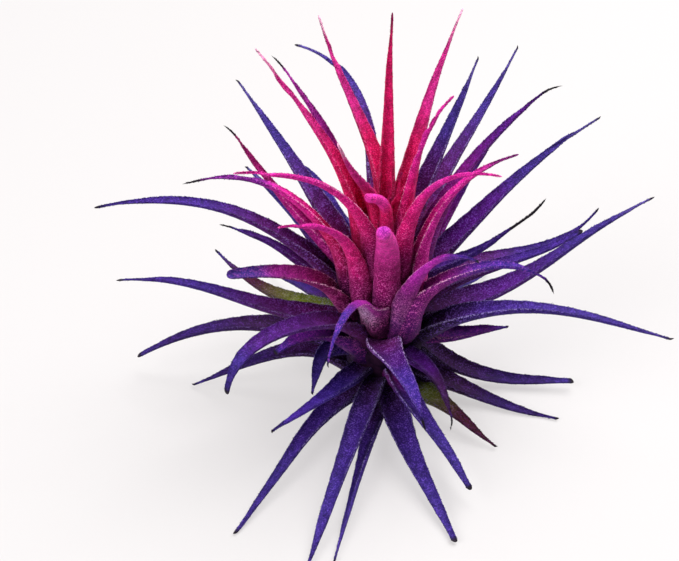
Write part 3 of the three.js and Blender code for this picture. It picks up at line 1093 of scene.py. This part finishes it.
widths = HEART_HALF * np.interp(np.arange(RINGS) / RINGS, *WIDTH_SHARES)
parts = []
owners = []
for number, (turn, reach, height, run) in enumerate(HEART_LEAVES):
    curve = heart_curve(turn, reach, height)
    line = grow(curve, widths, np.tile(level_across(curve), (RINGS, 1)))
    parts.append(leaf_parts(line, "faded", HEART_TWIST, HEART_SEED + number))
    owners.append(np.full(len(parts[-1][1]), run == "ruby"))
counts = np.cumsum([0] + [len(part[0]) for part in parts])
points = np.vstack([part[0] for part in parts])
faces = np.vstack([part[1] + count for part, count in zip(parts, counts)])
places = np.vstack([part[2] for part in parts])
wear = np.vstack([part[3] for part in parts])
mesh = new_mesh("fine_heart", points, faces, place=places, wear=wear)
put_in("fine_heart", mesh, leaf_materials["rose"], "heart")
mesh.materials.append(leaf_materials["ruby"])
mesh.polygons.foreach_set("material_index", np.concatenate(owners).astype(np.int32))
print("heart", len(faces), "triangles")

# %% [markdown]
# ## The stem
# The stem is a short, swollen axis that the sheaths hide. What shows of it between them is dark, with the
# scars and rims of older sheaths winding round it.

# %% Turn the stem
STEM_PROFILE = ((0, 4, 10, 18, 28, 36, 43, 49), (4.5, 6, 8, 9.6, 10.4, 9.8, 7.8, 5))
STEM_TOP = 49
STEM_AROUND = 160
STEM_STATIONS = 150
RIM_HEIGHT = 0.5 * MM
RIM_START = 0.75
RIMS_UP = 9
RIMS_ROUND = 5
PLAIN_FOOT = 2
PLAIN_TOP = 3


def stem_grid():
    """The stem's radius at each height, less a saw-tooth of turn and height together, which winds up it."""
    height = np.linspace(0, STEM_TOP, STEM_STATIONS)
    angles = np.linspace(0, 2 * math.pi, STEM_AROUND, endpoint=False)
    h, a = np.meshgrid(height, angles, indexing="ij")
    radius = np.interp(h, *STEM_PROFILE) * MM
    saw = (h / STEM_TOP * RIMS_UP + a / (2 * math.pi) * RIMS_ROUND) % 1
    ends = ease(h, 0, PLAIN_FOOT) * (1 - ease(h, STEM_TOP - PLAIN_TOP, STEM_TOP))
    radius -= RIM_HEIGHT * ease(saw, RIM_START, 1) * ends
    grid = np.stack([radius * np.cos(a), radius * np.sin(a), h * MM], axis=-1)
    points = np.vstack([grid.reshape(-1, 3), (0, 0, 0), (0, 0, STEM_TOP * MM)])
    return points, tube_faces(STEM_STATIONS, STEM_AROUND)


points, faces = stem_grid()
stem_mesh = new_mesh("fine_stem", points, faces)
print("stem", len(faces), "triangles")

# %% [markdown]
# The stem is fibrous, with mottling from dark violet to dark red that also roughens it. It is nearly black:
# its own dark colour, darkened further as painted shade for the hollow under the sheaths.

# %% Finish the stem
FIBRE = 500.0
FIBRE_DETAIL = 5.0
# Both colours are nearly black: the stem's own colour, with painted shade for the hollow under the sheaths.
STEM_DARK = (0.008, 0.003, 0.012, 1)
STEM_RED = (0.03, 0.008, 0.028, 1)
FIBRE_STRENGTH = 0.5
FIBRE_DEPTH = 0.2 * MM
STEM_ROUGHNESS = 0.75
STEM_GLOSS = 0.05


def stem_material():
    """A dark, rough material whose mottling gives both its colour and its relief."""
    material = bpy.data.materials.new("stem")
    material.use_nodes = True
    sheet = Sheet(material.node_tree)
    shader = material.node_tree.nodes["Principled BSDF"]
    spot = sheet.add("ShaderNodeTexCoord", "Object", {})
    mottle = sheet.add("ShaderNodeTexNoise", 0, {"Vector": spot, "Scale": FIBRE, "Detail": FIBRE_DETAIL})
    color = sheet.mix(sheet.step(mottle, "stem mottled"), STEM_DARK, STEM_RED)
    relief = {"Height": mottle, "Strength": FIBRE_STRENGTH, "Distance": FIBRE_DEPTH}
    material.node_tree.links.new(color, shader.inputs["Base Color"])
    material.node_tree.links.new(sheet.add("ShaderNodeBump", 0, relief), shader.inputs["Normal"])
    shader.inputs["Roughness"].default_value = STEM_ROUGHNESS
    shader.inputs["Specular IOR Level"].default_value = STEM_GLOSS
    return material


put_in("fine_stem", stem_mesh, stem_material(), "stem")
print("stem finished")

# %% [markdown]
# ## The table
# The plant stands on a white table that runs off out of sight. A sheet that is only white would throw so
# much light back up that the leaves lose their depth. So the sheet itself is a mid grey, and glows
# softly: the glow makes it white, and the grey lets a soft shadow show under the plant.

# %% Lay the table
TABLE_HALF = 3.0
TABLE_GREY = (0.2, 0.194, 0.194, 1)
TABLE_GLOW = (1, 0.97, 0.97, 1)
GLOW_STRENGTH = 0.55
TABLE_ROUGHNESS = 0.6
TABLE_GLOSS = 0.2


def table_material():
    """A matt grey material that also glows."""
    material = bpy.data.materials.new("table")
    material.use_nodes = True
    shader = material.node_tree.nodes["Principled BSDF"]
    shader.inputs["Base Color"].default_value = TABLE_GREY
    shader.inputs["Emission Color"].default_value = TABLE_GLOW
    shader.inputs["Emission Strength"].default_value = GLOW_STRENGTH
    shader.inputs["Roughness"].default_value = TABLE_ROUGHNESS
    shader.inputs["Specular IOR Level"].default_value = TABLE_GLOSS
    return material


corners = np.array([(-1, -1, 0), (1, -1, 0), (1, 1, 0), (-1, 1, 0)]) * TABLE_HALF
table_mesh = new_mesh("table", corners, np.array([(0, 1, 2), (0, 2, 3)]))
table_mesh.materials.append(table_material())
table = bpy.data.objects.new("table", table_mesh)
bpy.context.scene.collection.objects.link(table)
table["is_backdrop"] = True
print("table", 2 * TABLE_HALF, "m wide")

# %% [markdown]
# ## The light
# The light is soft and nearly even: a broad box high over the plant and a little behind it, a smaller one
# like a window at the front left, and a faint white sky that fills the shadows.

# %% Hang the lights
LIGHTS = {
    # Where each soft box hangs, its size and its power.
    "top": ((0.3, 0.3, 0.9), 1.0, 22.0),
    "window": ((-0.6, -0.45, 0.55), 0.5, 7.5),
}
LIT_POINT = Vector((0, 0, 0.04))
WORLD_COLOR = (1, 0.99, 0.99, 1)
WORLD_STRENGTH = 0.16

for name, (spot, size, power) in LIGHTS.items():
    data = bpy.data.lights.new(name, "AREA")
    data.size = size
    data.energy = power
    lamp = bpy.data.objects.new(name, data)
    lamp.location = spot
    lamp.rotation_euler = (LIT_POINT - lamp.location).to_track_quat("-Z", "Y").to_euler()
    bpy.context.scene.collection.objects.link(lamp)
world = bpy.data.worlds.new("studio")
world.use_nodes = True
background = world.node_tree.nodes["Background"]
background.inputs["Color"].default_value = WORLD_COLOR
background.inputs["Strength"].default_value = WORLD_STRENGTH
bpy.context.scene.world = world
bpy.context.scene.view_settings.view_transform = "Standard"
print(len(LIGHTS), "lamps")

# %% [markdown]
# ## Sizes
# The finer leaves stay where the imported ones are, and both boxes are printed.

# %% Write the sizes and finish
visual_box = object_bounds()
for label, (low, high) in {"packed": cad_box, "shown": visual_box}.items():
    print(label, [round(x / MM, 1) for x in low], "to", [round(x / MM, 1) for x in high])
